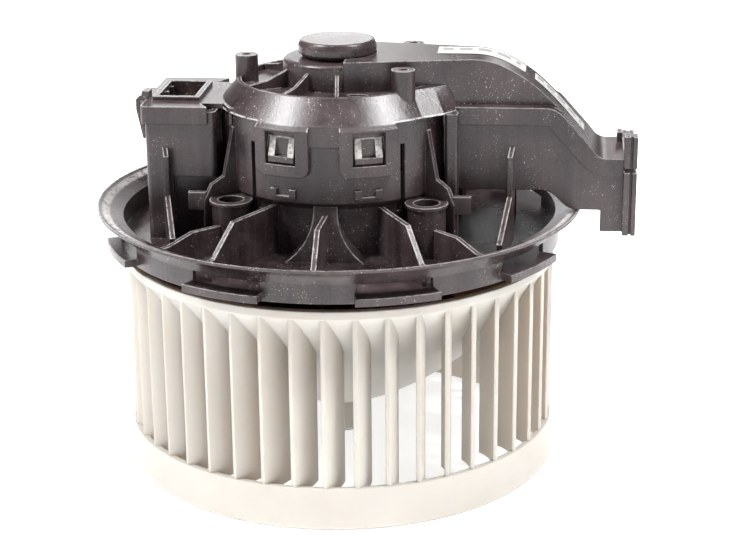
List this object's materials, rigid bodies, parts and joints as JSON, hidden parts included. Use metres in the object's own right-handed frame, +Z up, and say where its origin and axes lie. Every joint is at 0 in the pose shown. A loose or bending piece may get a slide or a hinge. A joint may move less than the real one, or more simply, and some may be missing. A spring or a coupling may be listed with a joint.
{
  "type": "car cabin blower motor",
  "caption": "Blower motor for a car's heating and ventilation box: a flanged plastic carrier with a cooling duct and connector box over a drum fan.",
  "frame": {"origin": "centre of the mounting flange, level with the floor inside it, where the motor's axis crosses it", "axes": "+Z up along the motor shaft, away from the fan; +X along the cooling duct to its outlet; -Y is the side that the picture shows"},
  "size_m": [0.1835, 0.1658, 0.146],
  "materials": {
    "housing_plastic": "satin black moulding",
    "connector_plastic": "satin black moulding",
    "cap_plastic": "glossy black moulding",
    "fan_plastic": "satin ivory moulding",
    "steel": "ground",
    "plated_steel": "zinc plated",
    "spring_steel": "bright",
    "lamination_steel": "stamped",
    "copper_wire": "enamelled",
    "copper": "bare",
    "brass": "bare",
    "bearing_bronze": "sintered",
    "ferrite": "sintered",
    "carbon": "pressed",
    "card": "phenolic",
    "rubber": "moulded"
  },
  "bodies": {
    "housing": {"motor_can": "plated_steel", "field_magnet_front": "ferrite", "field_magnet_back": "ferrite", "end_plate": "plated_steel", "lower_bearing": "bearing_bronze", "upper_bearing": "bearing_bronze", "brush_card": "card", "brush_tube_1": "brass", "brush_tube_2": "brass", "brush_spring_1": "spring_steel", "brush_spring_2": "spring_steel", "choke_1": "copper_wire", "choke_2": "copper_wire", "motor_carrier": "housing_plastic", "isolator_ring_lower": "rubber", "isolator_ring_upper": "rubber", "connector_housing": "connector_plastic", "blade_pin_positive": "brass", "blade_pin_negative": "brass", "lead_positive": "copper", "lead_negative": "copper", "top_cover": "housing_plastic", "top_cap": "cap_plastic"},
    "rotor": {"fan": "fan_plastic", "shaft": "steel", "shaft_clip": "spring_steel", "armature_core": "lamination_steel", "armature_winding": "copper_wire", "commutator": "copper", "thrust_washer_lower": "card", "thrust_washer_upper": "card"},
    "brush_1": {"carbon_brush_1": "carbon"},
    "brush_2": {"carbon_brush_2": "carbon"}
  },
  "joints": [
    {"name": "rotor_spin", "type": "hinge", "parent": "housing", "child": "rotor", "pos_m": [0, 0, 0], "axis": [0, 0, 1], "continuous": true},
    {"name": "brush_1_slide", "type": "slide", "parent": "housing", "child": "brush_1", "axis": [1, 0, 0], "range_m": [0, 0.003], "stiffness_N_per_m": 120, "springref_m": -0.003, "deforming": ["brush_spring_1"]},
    {"name": "brush_2_slide", "type": "slide", "parent": "housing", "child": "brush_2", "axis": [-1, 0, 0], "range_m": [0, 0.003], "stiffness_N_per_m": 120, "springref_m": -0.003, "deforming": ["brush_spring_2"]}
  ]
}
